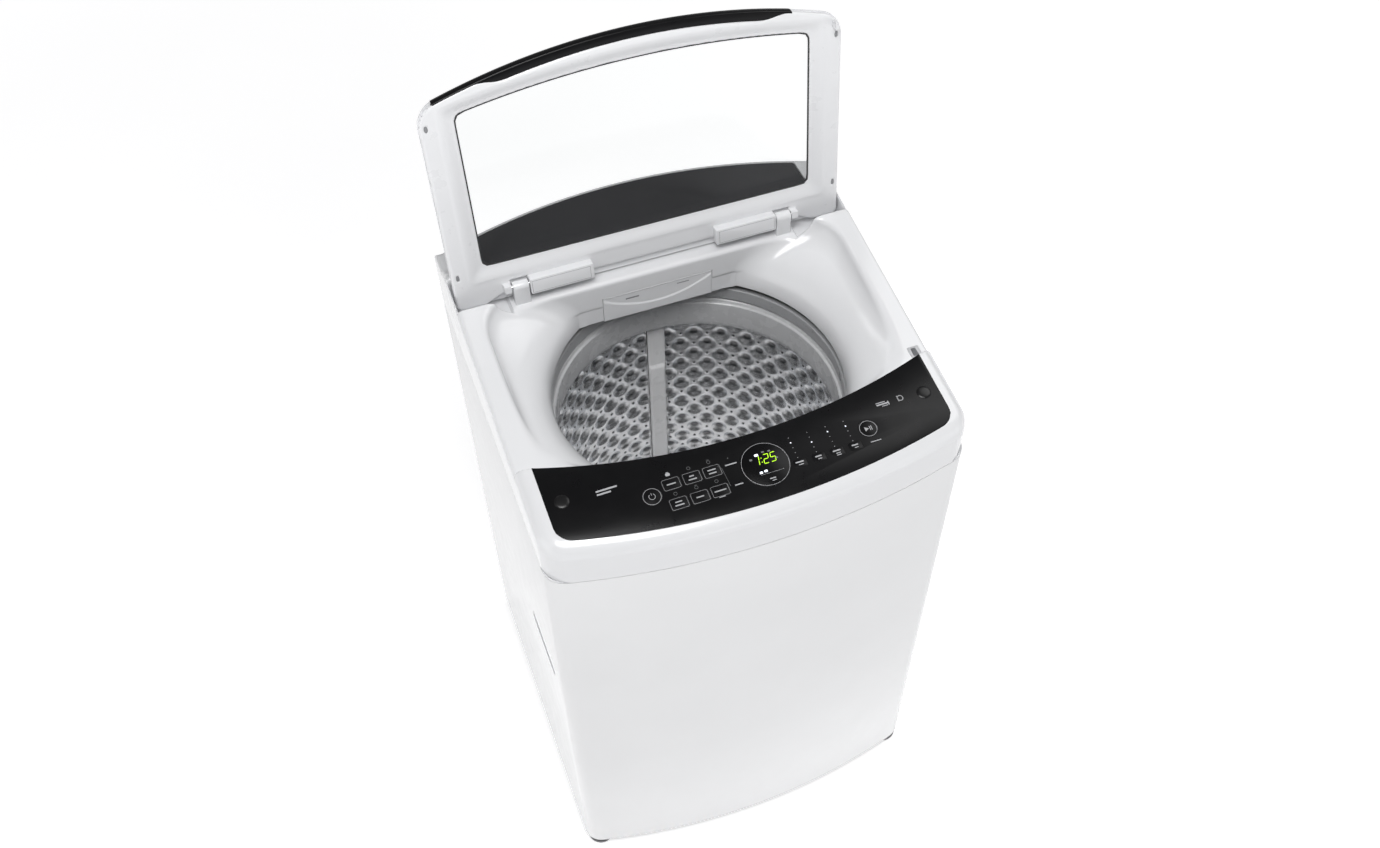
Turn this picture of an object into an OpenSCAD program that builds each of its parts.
// Top load washing machine: steel cabinet, sloping top cover with a control panel in front of
// the tub mouth, glazed lid hinged behind it, hung tub with a spinning basket and a pulsator.
// Origin: on the floor under the middle of the machine. +Z up, +Y to the back, +X to the right.

/* [Cabinet] */
// Width over the side walls
body_w = 632; // [600:1:660]
// How far the front face bows forward at its middle
front_bow = 43; // [30:1:55]
// Radius of the two front corners
corner_r = 32; // [20:1:45]
// Distance from the origin to the front face at its middle
front_reach = 335; // [325:1:345]
// Distance from the origin to the flat back
back_reach = 275; // [270:1:285]
// Height of the cabinet's lower edge above the floor
cabinet_z = 18; // [14:1:24]
// Height of the joint between cabinet and top cover
seam_z = 887; // [870:1:900]
// Sheet thickness of the cabinet
sheet_t = 1; // [0.8:0.1:1.5]

/* [Top cover] */
// Height of the crease round the front of the top cover
crease_z = 946; // [940:1:952]
// Slope of the top surface, in degrees
top_slope = 7.85; // [7.5:0.05:8]
// Thickness of the plastic walls
wall_t = 3; // [2.5:0.1:3.5]
// Radius of the tub mouth in the top cover
mouth_r = 221; // [215:1:224]
// How far the control panel stands above the lid ledge
panel_lift = 18; // [16:1:20]
// Height of the back deck
deck_z = 993; // [988:1:998]

/* [Control panel] */
// Half width of the black panel
panel_half_w = 291; // [285:1:294]
// Width and depth of a course key
key_size = [26, 18.6]; // [14:0.1:30]
// Travel of every key
key_travel = 0.6; // [0.3:0.1:0.8]
// Radius of the display window
display_r = 34.5; // [30:0.5:34.5]

/* [Lid] */
// How far the lid opens from the ledge, in degrees
lid_open = 105.05; // [90:0.05:108]
// Half width of the lid
lid_half_w = 310; // [304:1:311]
// Thickness of the lid at its edge
lid_t = 18; // [16:1:20]
// Radius of the hinge pins
hinge_pin_r = 4; // [3:0.5:5]

/* [Tub] */
// Radius of the inside of the steel basket
basket_r = 242; // [236:1:244]
// Height of the basket's lower rim
basket_z = 330; // [320:1:345]
// Inner radius of the balance ring
ring_r = 218; // [214:1:220]
// Inner radius of the outer tub
tub_r = 256; // [254:1:258]
// Radius of the pulsator
pulsator_r = 185; // [160:1:200]
// Number of pulsator vanes
vanes = 6; // [3:1:8]

/* [Hidden] */
$fn = 96;

half_w = body_w / 2;
bow_r = (half_w ^ 2 + front_bow ^ 2) / (2 * front_bow);  // radius of the bowed front in plan
bow_y = bow_r - front_reach;                             // its centre
tub_y = (back_reach - front_reach) / 2;                  // tub axis, midway between front and back
panel_face_y = back_reach - 1.5;                         // outer face of the back panel, inside its flanges
rise = tan(top_slope);
crease_y = -259.5;             // the crease is level in front of this line and climbs behind it
mouth_y = tub_y - 4;
floor_z = 900;                 // top of the rim round the tub mouth
bowl_half_w = 283;             // the bowl's straight sides
dish_w = 115;                  // the dish climbs by dish_h over this distance from the mouth
dish_h = 84;
wall_y = 150;                  // front face of the wall behind the bowl
platform_z = 952;              // shelf that carries the hinge arms
trough_back_y = 194;
back_bulge = 65;               // how far the top cover bulges behind the cabinet's corners
bulge_reach = 335;
bulge_z = 905;
panel_back_r = 963.4;          // the panel's back edge is an arc that faces the tub
panel_back_y = 754.4;          // centre of that arc
panel_t = 3;
panel_inset = 18;              // from the cabinet's front to the panel's
key_gap = 0.35;
key_t = 4.5;
option_size = [19, 13];
ring_key = [27.4, 27.4];       // round keys
ring_key_r = 13.69;
power_at = [-152, -258];
start_at = [168, -255];
display_at = [11, -261];
buffer_x = 268;
buffer_y = -226;
course_x = [-121, -91, -62];
course_y = [-248, -279];
option_x = [56.5, 84.5, 112, 139.5];
option_y = -275;
lock_at = [295, -146];
lid_root = [0, 180, crease_z + rise * (180 - crease_y)];  // closed lid's back edge on the ledge
hinge_y = 156;
hinge_z = 998.7;
hinge_v = (hinge_y - lid_root.y) * cos(top_slope) + (hinge_z - lid_root.z) * sin(top_slope);
hinge_w = -(hinge_y - lid_root.y) * sin(top_slope) + (hinge_z - lid_root.z) * cos(top_slope);
arm_x = 212;                   // middle of each hinge arm
arm_w = 24;
slot_top_w = 7.6;               // how deep the slots for the arms go into the lid
lid_front_r = 967.4;            // arc of the lid's front edge, in the lid's own plane
lid_front_v = 579.8;           // centre of that arc
lid_corner_r = 26;
lid_gap = 1;                   // air under the closed lid
trim_w = 6;                    // depth of the black trim along the lid's front edge
foot_x = 288;
foot_y = [-274, 245];
foot_r = 24;
rod_x = 268;
rod_y = 232;                   // suspension rods, from the tub axis
spring_z = [336, 380];
drum_top_z = 790;
drum_t = 1;
shaft_r = 8;
spin_shaft_r = 14;
run_gap = 0.05;                // radial clearance of the running fits
sump_at = [170, 80];
valve_x = 165;
spigot_r = 13.2;
housing_x = 90;                // half width of the dispenser housing
housing_y = [153, 262];
housing_z = [884, 949];
drawer_x = 90;                 // half width of the drawer's front
drawer_z = [886, 936];
drawer_t = 6;
grip_t = 12;                   // how far the drawer's upper lip stands out
tray_x = 82;                   // half width of the drawer's tray
tray_z = [889, 927];
tray_t = 2;
tray_len = 96;
cup_x = [12, 14];              // the wall between the two cups
lock_box = [17, 18];
spigot_len = 27;
inlet_z = 860;
drain_z = 100;
drain_end_y = 297;
pump_r = 42;
rod_r = 4;
inner_t = 8;                   // thickness of the lid's inner frame
glass_t = 4;
window_half = [258, 140];
window_v = -210;
window_front_r = 927;
knob_v = [-60, -310];          // the lid's screws
lid_white = [0.93, 0.93, 0.94];
body_white = [0.95, 0.95, 0.96];
tub_grey = [0.57, 0.57, 0.59];

// Height of the bowl above its floor at a fraction t of the dish's width
function dish_rise(t) = dish_h * sqrt(t) * (1.25 - 0.25 * t);

// Height of the sloping top surface at a depth y
function top_z(y) = crease_z + rise * (y - crease_y);

// Plan with straight sides, a flat back, a bowed front of radius front_r about [0, front_cy],
// and two front corners of radius r
function bowed_plan(half, back, front_r, front_cy, r, steps = 8) =
    let (cy = front_cy - sqrt((front_r - r) ^ 2 - (half - r) ^ 2),
         a = atan2(cy - front_cy, half - r))
    concat(
        [[half, back], [-half, back]],
        [for (i = [0 : steps]) let (t = 180 - a * i / steps) [-half + r + r * cos(t), cy + r * sin(t)]],
        [for (i = [1 : 3 * steps - 1]) let (t = 180 - a + (180 + 2 * a) * i / (3 * steps))
            [front_r * cos(t), front_cy + front_r * sin(t)]],
        [for (i = [0 : steps]) let (t = a - a * i / steps) [half - r + r * cos(t), cy + r * sin(t)]]);

// Cabinet outline in plan, moved inwards by d
function outline(d, half = half_w, r = corner_r) =
    bowed_plan(half - d, back_reach - d, bow_r - d, bow_y, max(r - d, 2));

// Plan of the top cover, with its back bulge
module cover_plan(d) {
    bulge_r = (half_w ^ 2 + back_bulge ^ 2) / (2 * back_bulge);
    polygon(outline(d));
    intersection() {
        translate([0, bulge_reach - bulge_r]) circle(r = bulge_r - d, $fn = 360);
        translate([-half_w + d, 150]) square([body_w - 2 * d, 300]);
    }
}

// Everything below the crease surface shifted by lift
module below_crease(lift, from_z = seam_z) {
    rotate([90, 0, 90]) translate([0, 0, -half_w - 20]) linear_extrude(body_w + 40)
        polygon([[-400, from_z], [400, from_z], [400, top_z(back_reach) - 8 + lift],
                 [back_reach, top_z(back_reach) + lift], [crease_y, crease_z + lift],
                 [-400, crease_z + lift]]);
}

// Slab parallel to the sloping top, between two lifts
module slope_slab(low, high) {
    rotate([90, 0, 90]) translate([0, 0, -half_w - 20]) linear_extrude(body_w + 40)
        polygon([for (p = [[-400, low], [400, low], [400, high], [-400, high]]) [p.x, top_z(p.x) + p.y]]);
}

// Region behind the panel's back arc, moved forward by d
module behind_panel(d) {
    translate([0, panel_back_y, 0]) cylinder(r = panel_back_r + d, h = 1200, $fn = 720);
}

// Rectangle with rounded corners, about the origin
module rounded(size, r) {
    for (s = [[size.x, size.y - 2 * r], [size.x - 2 * r, size.y]]) square(s, center = true);
    for (i = [-1, 1], j = [-1, 1]) translate([i * (size.x / 2 - r), j * (size.y / 2 - r)]) circle(r);
}

module mirrored() {
    children();
    mirror([1, 0, 0]) children();
}

// Tray-like ring between two radii and two heights, on the tub axis
module ring(r_in, r_out, z0, z1) {
    translate([0, tub_y, z0]) difference() {
        cylinder(r = r_out, h = z1 - z0, $fn = 180);
        translate([0, 0, -1]) cylinder(r = r_in, h = z1 - z0 + 2, $fn = 180);
    }
}

// ---- Cabinet ----

module cabinet() {
    color(body_white) difference() {
        translate([0, 0, cabinet_z]) linear_extrude(seam_z - cabinet_z) difference() {
            polygon(outline(0));
            polygon(outline(sheet_t));
        }
        // open back between two flanges
        translate([-half_w + 18, back_reach - 10, cabinet_z - 1]) cube([body_w - 36, 20, seam_z]);
        mirrored() translate([half_w - 10, -164, 530]) rotate([0, 90, 0])
            linear_extrude(20) rounded([24, 122], 11.9);
    }
}

module back_panel() {
    color([0.78, 0.79, 0.8]) difference() {
        translate([-half_w + 3, panel_face_y - sheet_t, cabinet_z])
            cube([body_w - 6, sheet_t, seam_z - cabinet_z]);
        for (x = [-valve_x, valve_x]) translate([x, back_reach + 5, inlet_z]) rotate([90, 0, 0])
            cylinder(r = spigot_r + 1, h = 20);
        translate([sump_at.x, back_reach + 5, drain_z]) rotate([90, 0, 0]) cylinder(r = 15, h = 20);
        translate([-230, back_reach + 5, 800]) rotate([90, 0, 0]) cylinder(r = 8, h = 20);
        translate([-150, back_reach - 10, 190]) cube([300, 20, 400]);
    }
}

// Pressed cover over the service opening, with stiffening ribs
module service_cover() {
    color([0.8, 0.81, 0.82]) {
        translate([-175, panel_face_y, 165]) cube([350, sheet_t, 450]);
        for (x = [-90 : 60 : 90]) translate([x - 8, panel_face_y + 0.5, 210]) cube([16, 5, 360]);
        for (x = [-165, 165], z = [180, 390, 600]) translate([x, panel_face_y + 0.5, z]) rotate([-90, 0, 0])
            cylinder(r = 5, h = 4);
    }
}

module base_frame() {
    color([0.35, 0.36, 0.37]) difference() {
        union() {
            translate([0, 0, cabinet_z]) linear_extrude(40) difference() {
                polygon(outline(sheet_t));
                polygon(outline(48));
                translate([-half_w, panel_face_y - sheet_t]) square([body_w, 10]);
            }
            translate([sump_at.x - 70, sump_at.y - 60, cabinet_z + 20]) cube([100, 230, 20]);
        }
        for (x = [-foot_x, foot_x], y = foot_y) translate([x, y, cabinet_z - 1]) cylinder(r = 6, h = 42);
    }
}

module feet() {
    color([0.45, 0.46, 0.47]) for (x = [-foot_x, foot_x], y = foot_y) translate([x, y, 0]) {
        cylinder(r1 = foot_r - 2, r2 = foot_r, h = 6);
        translate([0, 0, 6]) cylinder(r = foot_r, h = 5);
        translate([0, 0, 11]) cylinder(r = 12, h = 7, $fn = 6);
        translate([0, 0, 11]) cylinder(r = 5.8, h = 45);
    }
}

// Hand grips let into both side walls
module side_grips() {
    color(body_white) mirrored() translate([half_w - 22, -164, 530]) rotate([0, 90, 0]) difference() {
        union() {
            linear_extrude(22) rounded([23.6, 121.6], 11.7);
            translate([0, 0, 18.5]) linear_extrude(22 - sheet_t - 18.5) rounded([34, 132], 16.9);
        }
        translate([0, 0, 3]) linear_extrude(30) rounded([18, 116], 8.9);
    }
}

// ---- Top cover ----

module cover_body(d, lift) {
    intersection() {
        union() {
            translate([0, 0, seam_z]) linear_extrude(200) polygon(outline(d));
            translate([0, 0, bulge_z]) linear_extrude(200) cover_plan(d);
        }
        below_crease(lift, seam_z);
    }
}

// The dished bowl round the tub mouth, grown outwards by g
module bowl(g) {
    intersection() {
        translate([0, mouth_y, 0]) rotate_extrude($fn = 180) polygon(concat(
            [[0, floor_z - g], [mouth_r, floor_z - g]],
            [for (t = [0 : 0.125 : 1]) [mouth_r + g / 2 + dish_w * t, floor_z - g + dish_rise(t)]],
            [[mouth_r + dish_w + g, 1100], [0, 1100]]));
        translate([-bowl_half_w - g, -300, floor_z - g]) cube([2 * (bowl_half_w + g), 300 + wall_y + g, 200]);
        behind_panel(g - 6);
    }
}

// White surround of the control panel, stepped in towards its top
module fascia() {
    difference() {
        for (s = [[0, 5], [1.5, 9], [4, 13], [8, 16], [14, panel_lift]]) intersection() {
            translate([0, 0, seam_z]) linear_extrude(200) polygon(outline(s[0]));
            slope_slab(-60, s[1]);
        }
        behind_panel(-1);
        intersection() {
            translate([0, 0, seam_z - 50]) linear_extrude(250) polygon(outline(wall_t));
            slope_slab(-90, -wall_t);
            difference() {
                translate([-400, -400, 0]) cube([800, 400, 1200]);
                behind_panel(wall_t);
            }
        }
    }
}

module top_cover() {
    color(lid_white) difference() {
        union() {
            difference() {
                cover_body(0, 0);
                cover_body(wall_t, -wall_t);
                translate([0, 0, seam_z - 1]) linear_extrude(20) polygon(outline(wall_t));
            }
            translate([0, 0, floor_z - wall_t]) linear_extrude(wall_t) polygon(outline(wall_t - 1));
            intersection() {
                bowl(wall_t);
                cover_body(1, 0);
            }
            fascia();
            // wall behind the bowl, shelf and wall behind the trough
            intersection() {
                union() {
                    translate([-half_w, wall_y, floor_z - 1]) cube([body_w, wall_t, 200]);
                    translate([-half_w, wall_y, platform_z - wall_t]) cube([body_w, 50, wall_t]);
                    translate([-half_w, trough_back_y, floor_z - 1]) cube([body_w, wall_t, 200]);
                    translate([-half_w, trough_back_y, deck_z - panel_t - 5])
                        cube([body_w, 200, 5]);
                    mirrored() translate([bowl_half_w + 1, 0, 0]) {
                        translate([0, trough_back_y, deck_z - 8]) cube([wall_t, 150, 60]);
                        translate([0, wall_y - 20, platform_z - wall_t]) cube([30, 60, wall_t]);
                    }
                }
                cover_body(1, 0);
            }
            translate([0, 0, bulge_z]) linear_extrude(wall_t) difference() {
                cover_plan(1);
                translate([-half_w, -400]) square([body_w, 400 + back_reach - 6]);
            }
        }
        bowl(0);
        translate([0, mouth_y, floor_z - 20]) cylinder(r = mouth_r, h = 22, $fn = 180);
        // trough in which the lid's back edge swings
        translate([-lid_half_w - 1.5, 138, platform_z]) cube([2 * lid_half_w + 3, trough_back_y - 138, 90]);
        // recess for the back deck
        translate([0, 0, deck_z - panel_t]) linear_extrude(80) intersection() {
            translate([-bowl_half_w - 1, trough_back_y - 1]) square([2 * bowl_half_w + 2, 200]);
            cover_plan(7);
        }
        translate([-bowl_half_w - 1, trough_back_y - 1, deck_z + 4]) cube([2 * bowl_half_w + 2, 200, 80]);
        // control panel recess and the opening under it
        intersection() {
            translate([0, 0, seam_z]) linear_extrude(200) panel_plan(-0.2);
            slope_slab(panel_lift - panel_t - 0.1, 100);
        }
        intersection() {
            translate([0, 0, seam_z]) linear_extrude(200) panel_plan(8);
            slope_slab(-20, 100);
        }
        // dispenser housing behind the wall, and the drawer's hole in the wall
        translate([-housing_x - 0.4, housing_y[0], seam_z - 5])
            cube([2 * housing_x + 0.8, housing_y[1] - housing_y[0] + 0.4, housing_z[1] - seam_z + 5]);
        translate([-tray_x - 2, wall_y - 5, seam_z]) cube([2 * tray_x + 4, 10, drawer_z[1] - 2 - seam_z]);
        at_lock() translate([-lock_box.x / 2 - 0.2, -lock_box.y / 2 - 0.2, -40])
            cube([lock_box.x + 0.4, lock_box.y + 0.4, 60]);
        mirrored() translate([valve_x, 240, floor_z - 10]) cylinder(r = 10, h = 12);
    }
}

module panel_plan(d) {
    difference() {
        polygon(outline(panel_inset + d, panel_half_w + panel_inset, 46));
        translate([0, panel_back_y]) circle(r = panel_back_r + d, $fn = 720);
    }
}

module back_deck() {
    color([0.06, 0.06, 0.065]) translate([0, 0, deck_z - panel_t]) linear_extrude(panel_t) intersection() {
        translate([-bowl_half_w, trough_back_y + 1]) square([2 * bowl_half_w, 200]);
        cover_plan(8);
    }
}

// ---- Control panel ----

// Places children on the panel's surface: local Z is the surface's normal
module on_panel(p) {
    translate([p.x, p.y, top_z(p.y) + panel_lift]) rotate([top_slope, 0, 0]) children();
}

module key_hole(p, size, r) {
    on_panel(p) translate([0, 0, -10]) linear_extrude(12)
        rounded([size.x + 2 * key_gap, size.y + 2 * key_gap], r + key_gap);
}

function course_at(i) = [course_x[(i - 1) % 3], course_y[floor((i - 1) / 3)]];

module control_panel() {
    color([0.05, 0.05, 0.055]) difference() {
        intersection() {
            translate([0, 0, seam_z]) linear_extrude(200) panel_plan(0);
            slope_slab(panel_lift - panel_t, panel_lift);
        }
        key_hole(power_at, ring_key, ring_key_r);
        key_hole(start_at, ring_key, ring_key_r);
        for (i = [1 : 6]) key_hole(course_at(i), key_size, 2.5);
        for (x = option_x) key_hole([x, option_y], option_size, 2.5);
        on_panel(display_at) translate([0, 0, -10]) cylinder(r = display_r + 0.3, h = 12);
        mirrored() on_panel([buffer_x, buffer_y]) translate([0, 0, -10]) cylinder(r = 4.1, h = 12);
    }
}

module panel_buffers() {
    color([0.03, 0.03, 0.03]) for (x = [-buffer_x, buffer_x]) on_panel([x, buffer_y]) {
        cylinder(r1 = 10.5, r2 = 9.5, h = 1.6);
        translate([0, 0, -5]) cylinder(r = 4, h = 5);
    }
}

module display_window() {
    color([0.04, 0.04, 0.045]) on_panel(display_at) {
        translate([0, 0, -panel_t]) cylinder(r = display_r, h = panel_t);
        translate([0, 0, -5.5]) cylinder(r = display_r - 7, h = 3);
    }
}

// Circuit board in its tray, under the keys
module control_board() {
    color([0.1, 0.35, 0.2]) on_panel([11, -262]) difference() {
        translate([-182, -31, -13]) cube([360, 66, 13 - panel_t]);
        translate([-179, -28.5, -5.5]) cube([354, 60.5, 6]);
    }
}

module key_cap(p, size, r) {
    color([0.06, 0.06, 0.065]) on_panel(p) {
        translate([0, 0, -key_t]) linear_extrude(key_t) rounded(size, r);
        // flange that keeps the key under the panel
        translate([0, 0, -key_t]) linear_extrude(1.1)
            rounded([size.x + 2, size.y + 2], min(r + 1, size.y / 2 + 0.99));
    }
}

module power_key() key_cap(power_at, ring_key, ring_key_r);
module start_key() key_cap(start_at, ring_key, ring_key_r);
module course_key(i) key_cap(course_at(i), key_size, 2.5);
module option_key(i) key_cap([option_x[i - 1], option_y], option_size, 2.5);

// ---- Lock and hinges ----

module at_lock() {
    translate([lock_at.x, lock_at.y, top_z(lock_at.y)]) rotate([top_slope, 0, 0]) children();
}

module lid_lock() {
    color([0.6, 0.61, 0.62]) at_lock() difference() {
        union() {
            translate([-lock_box.x / 2, -lock_box.y / 2, -30]) cube([lock_box.x, lock_box.y, 30]);
            translate([-lock_box.x / 2, -lock_box.y / 2, -8]) cube([lock_box.x, lock_box.y + 4, 5]);
        }
        translate([-4, -7, -20]) cube([8, 14, 30]);
    }
}

module hinge_arms() {
    color(lid_white) mirrored() translate([arm_x - arm_w / 2, 0, 0]) rotate([90, 0, 90]) difference() {
        union() {
            translate([hinge_y, hinge_z]) cylinder(r = 8.5, h = arm_w);
            translate([hinge_y - 8.5, platform_z, 0]) cube([17, hinge_z - platform_z, arm_w]);
        }
        translate([hinge_y, hinge_z, -1]) cylinder(r = hinge_pin_r + run_gap, h = arm_w + 2);
    }
}

// ---- Water ----

module dispenser_housing() {
    color([0.86, 0.87, 0.88]) difference() {
        translate([-housing_x, housing_y[0], housing_z[0]])
            cube([2 * housing_x, housing_y[1] - housing_y[0], housing_z[1] - housing_z[0]]);
        translate([-housing_x + 3, housing_y[0] - 1, housing_z[0] + 3])
            cube([2 * housing_x - 6, housing_y[1] - housing_y[0] - 2, housing_z[1] - housing_z[0] - 6]);
        // water falls through a slot at the back
        translate([-60, housing_y[1] - 20, housing_z[0] - 1]) cube([120, 8, 6]);
        for (x = [-housing_x - 1, housing_x - 4]) translate([x, 240, 915]) rotate([0, 90, 0])
            cylinder(r = 5, h = 6);
    }
}

module inlet_valve(x) {
    translate([x, 0, inlet_z]) {
        translate([-25, 223, -22]) cube([50, 49, 44]);
        translate([0, 270, 0]) rotate([-90, 0, 0]) difference() {
            cylinder(r = spigot_r, h = spigot_len);
            translate([0, 0, 6]) cylinder(r = 9, h = spigot_len);
        }
        translate([0, 240, 20]) cylinder(r = 14, h = 8);
    }
}

module cold_inlet_valve() color([0.2, 0.35, 0.65]) inlet_valve(-valve_x);
module hot_inlet_valve() color([0.7, 0.2, 0.2]) inlet_valve(valve_x);

module fill_hoses() {
    color([0.15, 0.15, 0.16]) mirrored() difference() {
        union() {
            translate([valve_x, 240, 888]) cylinder(r = 8, h = 27);
            translate([valve_x, 240, 915]) sphere(r = 8);
            translate([housing_x, 240, 915]) rotate([0, 90, 0]) cylinder(r = 8, h = valve_x - housing_x);
        }
        translate([valve_x, 240, 887]) cylinder(r = 5, h = 28);
        translate([housing_x - 1, 240, 915]) rotate([0, 90, 0]) cylinder(r = 5, h = valve_x - housing_x + 1);
    }
}

module drain_pump() {
    color([0.3, 0.31, 0.32]) translate([sump_at.x, sump_at.y, cabinet_z + 40]) {
        cylinder(r = pump_r, h = 72);
        translate([0, 0, 72]) cylinder(r = pump_r - 20, h = 20);
        translate([-30, 38, 14]) cube([60, 30, 56]);
    }
}

module drain_pipe() {
    from_y = sump_at.y + 68;
    color([0.25, 0.26, 0.27]) translate([sump_at.x, from_y, drain_z]) rotate([-90, 0, 0]) difference() {
        cylinder(r = 14, h = drain_end_y - from_y);
        translate([0, 0, 3]) cylinder(r = 11, h = 300);
    }
}

module drain_bellows() {
    color([0.2, 0.2, 0.21]) translate([sump_at.x, sump_at.y, 150]) rotate_extrude() polygon(concat(
        [for (i = [0 : 10]) [22 + (i % 2 == 0 ? 0 : 5), 13.5 * i]],
        [[19, 135], [19, 0]]));
}

module cord_gland() {
    color([0.12, 0.12, 0.13]) translate([-230, panel_face_y, 800]) rotate([-90, 0, 0]) difference() {
        union() {
            cylinder(r1 = 14, r2 = 11, h = 7);
            translate([0, 0, -6]) cylinder(r = 7.9, h = 6);
        }
        translate([0, 0, -7]) cylinder(r = 3.8, h = 20);
    }
}

// ---- Suspension ----

module each_rod() {
    for (x = [-rod_x, rod_x], y = [-rod_y, rod_y]) translate([x, tub_y + y, 0]) children();
}

module suspension_rods() {
    color([0.7, 0.71, 0.72]) each_rod() {
        translate([0, 0, 330]) cylinder(r = rod_r, h = 560);
        translate([0, 0, 326]) cylinder(r = 16, h = 10);
        translate([0, 0, 884]) cylinder(r = 14, h = 13);
    }
}

module suspension_springs() {
    color([0.2, 0.2, 0.2]) each_rod() translate([0, 0, spring_z[0]]) difference() {
        cylinder(r = 13, h = spring_z[1] - spring_z[0]);
        translate([0, 0, -1]) cylinder(r = rod_r + 2, h = 60);
    }
}

// ---- Tub ----

module outer_tub() {
    color([0.75, 0.76, 0.78]) difference() {
        union() {
            translate([0, tub_y, 300]) cylinder(r = tub_r + 3, h = 550, $fn = 180);
            for (x = [-rod_x, rod_x], y = [-rod_y, rod_y]) translate([0, tub_y, spring_z[1]])
                rotate([0, 0, atan2(y, x)]) {
                    translate([tub_r + 1, -14, 0]) cube([85, 28, 16]);
                    translate([norm([x, y]), 0, 0]) cylinder(r = 17, h = 16);
                }
            translate([sump_at.x, sump_at.y, 285]) cylinder(r = 21, h = 18);
        }
        translate([0, tub_y, 306]) cylinder(r = tub_r, h = 550, $fn = 180);
        translate([0, tub_y, 290]) cylinder(r = 44, h = 30);
        each_rod() translate([0, 0, 370]) cylinder(r = rod_r + 1.5, h = 40);
        translate([sump_at.x, sump_at.y, 280]) cylinder(r = 17, h = 40);
    }
}

module tub_cover() {
    color(tub_grey) difference() {
        union() {
            ring(tub_r - 20, tub_r + 6, 850, 856);
            ring(mouth_r + 1, tub_r - 10, 850, 872);
        }
        ring(mouth_r + 5, tub_r - 14, 849, 868);
    }
}

module motor_stator() {
    color([0.55, 0.35, 0.2]) {
        ring(60, 86, 176, 216);
        for (a = [0 : 20 : 340]) translate([0, tub_y, 182]) rotate([0, 0, a]) translate([84, -6, 0])
            cube([24, 12, 28]);
    }
}

module bearing_housing() {
    color([0.6, 0.61, 0.62]) {
        ring(26, 44, 196, 306);
        ring(26, 70, 288, 300);
        ring(40, 60, 196, 206);
    }
}

module shaft_bearings() {
    color([0.75, 0.76, 0.78]) {
        ring(spin_shaft_r + run_gap, 26, 200, 212);
        ring(spin_shaft_r + run_gap, 26, 282, 296);
    }
}

// ---- Basket ----

module basket_wall() {
    color([0.8, 0.81, 0.82]) ring(basket_r, basket_r + drum_t, basket_z, drum_top_z + 6);
}

module basket_base() {
    color([0.7, 0.71, 0.72]) translate([0, tub_y, 0]) difference() {
        union() {
            translate([0, 0, 318]) cylinder(r = basket_r, h = 26, $fn = 180);
            translate([0, 0, 310]) cylinder(r = 60, h = 10);
        }
        translate([0, 0, 326]) cylinder(r = basket_r - 8, h = 30, $fn = 180);
        translate([0, 0, 300]) cylinder(r = spin_shaft_r, h = 60);
    }
}

module balance_ring() {
    color(tub_grey) translate([0, tub_y, 0]) rotate_extrude($fn = 180) polygon([
        [ring_r, 795], [ring_r + 4, 785], [basket_r, 782], [basket_r, drum_top_z + 6],
        [basket_r + drum_t, drum_top_z + 6], [basket_r + 5, 800], [basket_r + 5, 836],
        [basket_r, 843], [ring_r + 6, 845], [ring_r, 838]]);
}

// Smooth strip with the lint filter in its lower half
module lint_strip() {
    color([0.72, 0.73, 0.75]) translate([0, tub_y, 0]) rotate([0, 0, 86.5]) intersection() {
        difference() {
            translate([0, 0, 346]) cylinder(r = basket_r - 0.05, h = 434, $fn = 180);
            translate([0, 0, 340]) cylinder(r = basket_r - 5, h = 450, $fn = 180);
        }
        translate([200, -15, 340]) cube([60, 30, 450]);
    }
}

module spin_shaft() {
    color([0.65, 0.66, 0.68]) translate([0, tub_y, 0]) difference() {
        translate([0, 0, 150]) cylinder(r = spin_shaft_r, h = 176);
        translate([0, 0, 140]) cylinder(r = shaft_r + run_gap, h = 200);
    }
}

// ---- Pulsator and motor rotor ----

module pulsator() {
    color([0.88, 0.89, 0.9]) translate([0, tub_y, 0]) difference() {
        union() {
            translate([0, 0, 350]) rotate_extrude($fn = 180) polygon([
                [0, 0], [pulsator_r - 6, 0], [pulsator_r, 4], [pulsator_r, 10], [pulsator_r - 20, 7],
                [70, 8], [48, 26], [28, 30], [0, 30]]);
            for (i = [0 : vanes - 1]) rotate([0, 0, i * 360 / vanes]) translate([40, -7, 352])
                rotate([0, -2, 0]) cube([pulsator_r - 58, 14, 18]);
        }
        translate([0, 0, 340]) cylinder(r = shaft_r, h = 32);
    }
}

module pulsator_cap() {
    color([0.6, 0.61, 0.63]) translate([0, tub_y, 380]) cylinder(r1 = 24, r2 = 19, h = 6);
}

module wash_shaft() {
    color([0.68, 0.69, 0.7]) translate([0, tub_y, 140]) cylinder(r = shaft_r, h = 232);
}

module motor_rotor() {
    color([0.5, 0.51, 0.53]) {
        ring(112, 118, 148, 222);
        ring(shaft_r, 118, 142, 148);
    }
}

// ---- Lid ----

// Lid coordinates: v runs from the back edge (0) forwards (negative), w away from the ledge.
// The parts are drawn closed and swung open round the hinge axis.
module lid_pose() {
    translate([0, hinge_y, hinge_z]) rotate([-lid_open, 0, 0]) translate([0, -hinge_y, -hinge_z])
        translate(lid_root) rotate([top_slope, 0, 0]) children();
}

module lid_plan(d, front = 0) {
    polygon(bowed_plan(lid_half_w - d, 0, lid_front_r - d - front, lid_front_v, lid_corner_r - d));
}

module window_plan(d) {
    intersection() {
        translate([0, window_v]) rounded([2 * (window_half.x + d), 2 * (window_half.y + d)], 16 + d / 2);
        translate([0, lid_front_v]) circle(r = window_front_r + d, $fn = 720);
    }
}

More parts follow.
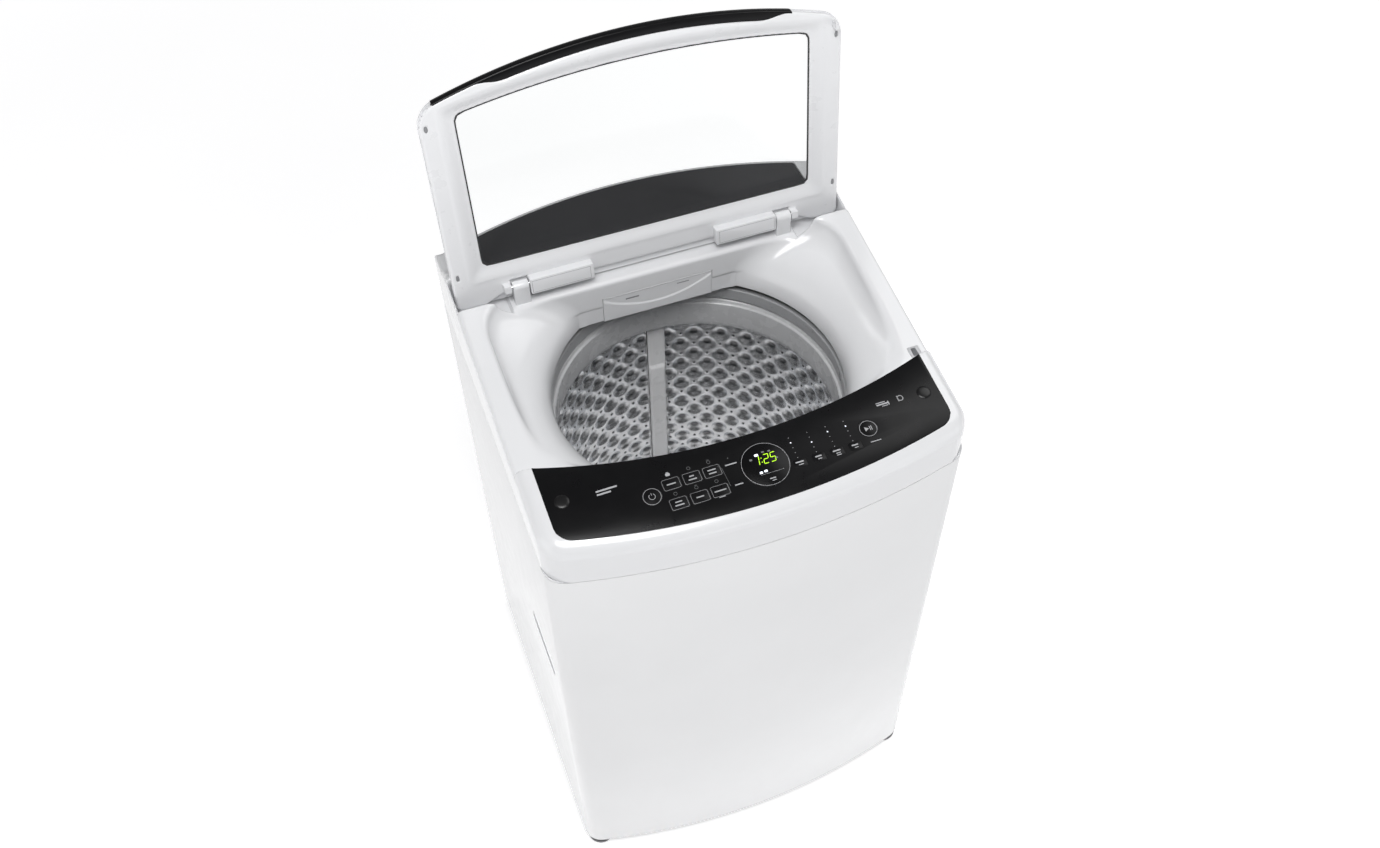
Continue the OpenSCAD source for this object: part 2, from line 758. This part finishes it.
module arm_slots() {
    mirrored() translate([arm_x - arm_w / 2 - 1.5, hinge_v - 10.5, slot_top_w - 40])
        cube([arm_w + 3, 60, 40]);
}

module hinge_bores() {
    translate([-260, hinge_v, hinge_w]) rotate([0, 90, 0]) cylinder(r = hinge_pin_r + 0.02, h = 520);
}

module lid_inner_frame() {
    color(lid_white) lid_pose() difference() {
        union() {
            translate([0, 0, lid_gap]) linear_extrude(inner_t) difference() {
                lid_plan(1, trim_w - 0.9);
                window_plan(0);
            }
            mirrored() translate([arm_x + arm_w / 2 + 1.5, hinge_v - 9, hinge_w - 8]) cube([12, 18, 16]);
        }
        arm_slots();
        hinge_bores();
        mirrored() for (v = knob_v) translate([300, v, -1]) cylinder(r = 3, h = 8);
    }
}

module lid_outer_frame() {
    upper_t = lid_t - lid_gap - inner_t;
    color(lid_white) lid_pose() translate([0, 0, lid_gap + inner_t]) difference() {
        linear_extrude(upper_t) lid_plan(0);
        translate([0, 0, -1]) linear_extrude(30) window_plan(4);
        translate([0, 0, upper_t - glass_t]) linear_extrude(30) window_plan(14);
        translate([0, 0, -1]) linear_extrude(30) trim_plan();
    }
}

module lid_glass() {
    color([0.85, 0.9, 0.92, 0.3]) lid_pose() translate([0, 0, lid_t - glass_t])
        linear_extrude(glass_t) window_plan(13.7);
}

// Strip along the lid's front edge
module trim_plan() {
    intersection() {
        difference() {
            lid_plan(0);
            lid_plan(0, trim_w);
        }
        translate([-286, -500]) square([572, 400]);
    }
}

module lid_trim() {
    color([0.05, 0.05, 0.055]) lid_pose() translate([0, 0, lid_gap + 2])
        linear_extrude(lid_t - lid_gap - 2) trim_plan();
}

module hinge_covers() {
    color(lid_white) lid_pose() mirrored() difference() {
        translate([99, hinge_v - 11, hinge_w - 8]) cube([arm_x - arm_w / 2 - 101, 27, 8 - hinge_w + lid_gap]);
        hinge_bores();
    }
}

module hinge_pins() {
    color([0.7, 0.71, 0.72]) lid_pose() mirrored() translate([170, hinge_v, hinge_w]) rotate([0, 90, 0])
        cylinder(r = hinge_pin_r, h = arm_x + arm_w / 2 + 10 - 170);
}

module lid_screw_caps() {
    color([0.5, 0.51, 0.53]) lid_pose() mirrored() for (v = knob_v) translate([300, v, lid_gap - 0.4])
        cylinder(r = 3, h = 4);
}

module lid_striker() {
    color(lid_white) lid_pose() translate([lock_at.x - 2.2, -334, -13]) {
        cube([4.4, 10, 13 + lid_gap]);
        translate([0, -1.5, 0]) cube([4.4, 3, 4]);
    }
}

// ---- Detergent drawer ----

module drawer_front() {
    color(lid_white) difference() {
        union() {
            translate([-drawer_x, wall_y - 0.5 - drawer_t, drawer_z[0]])
                cube([2 * drawer_x, drawer_t, drawer_z[1] - drawer_z[0]]);
            translate([-drawer_x, wall_y - grip_t, drawer_z[1] - 10]) cube([2 * drawer_x, 8, 10]);
            translate([-80, wall_y - 1, 890]) cube([160, 5, 35]);
        }
        // finger groove under the lip
        translate([-tray_x, wall_y - grip_t - 1, drawer_z[1] - 12]) rotate([0, 90, 0])
            cylinder(r = 5, h = 2 * tray_x);
    }
}

module drawer_tray() {
    cup_y = wall_y + 4 + tray_t;
    cup_len = tray_len - 2 * tray_t;
    color([0.85, 0.88, 0.92]) difference() {
        translate([-tray_x, wall_y + 4, tray_z[0]]) cube([2 * tray_x, tray_len, tray_z[1] - tray_z[0]]);
        for (x = [[tray_t - tray_x, cup_x[0]], [cup_x[1], tray_x - tray_t]])
            translate([x[0], cup_y, tray_z[0] + tray_t]) cube([x[1] - x[0], cup_len, 40]);
    }
}

cabinet();
back_panel();
service_cover();
base_frame();
feet();
side_grips();
top_cover();
back_deck();
control_panel();
panel_buffers();
display_window();
control_board();
lid_lock();
hinge_arms();
dispenser_housing();
cold_inlet_valve();
hot_inlet_valve();
fill_hoses();
drain_pump();
drain_pipe();
cord_gland();
suspension_rods();
suspension_springs();
drain_bellows();
outer_tub();
tub_cover();
motor_stator();
bearing_housing();
shaft_bearings();
basket_wall();
basket_base();
balance_ring();
lint_strip();
spin_shaft();
pulsator();
pulsator_cap();
wash_shaft();
motor_rotor();
lid_inner_frame();
lid_outer_frame();
lid_glass();
lid_trim();
hinge_covers();
hinge_pins();
lid_screw_caps();
lid_striker();
drawer_front();
drawer_tray();
power_key();
start_key();
for (i = [1 : 6]) course_key(i);
for (i = [1 : 4]) option_key(i);
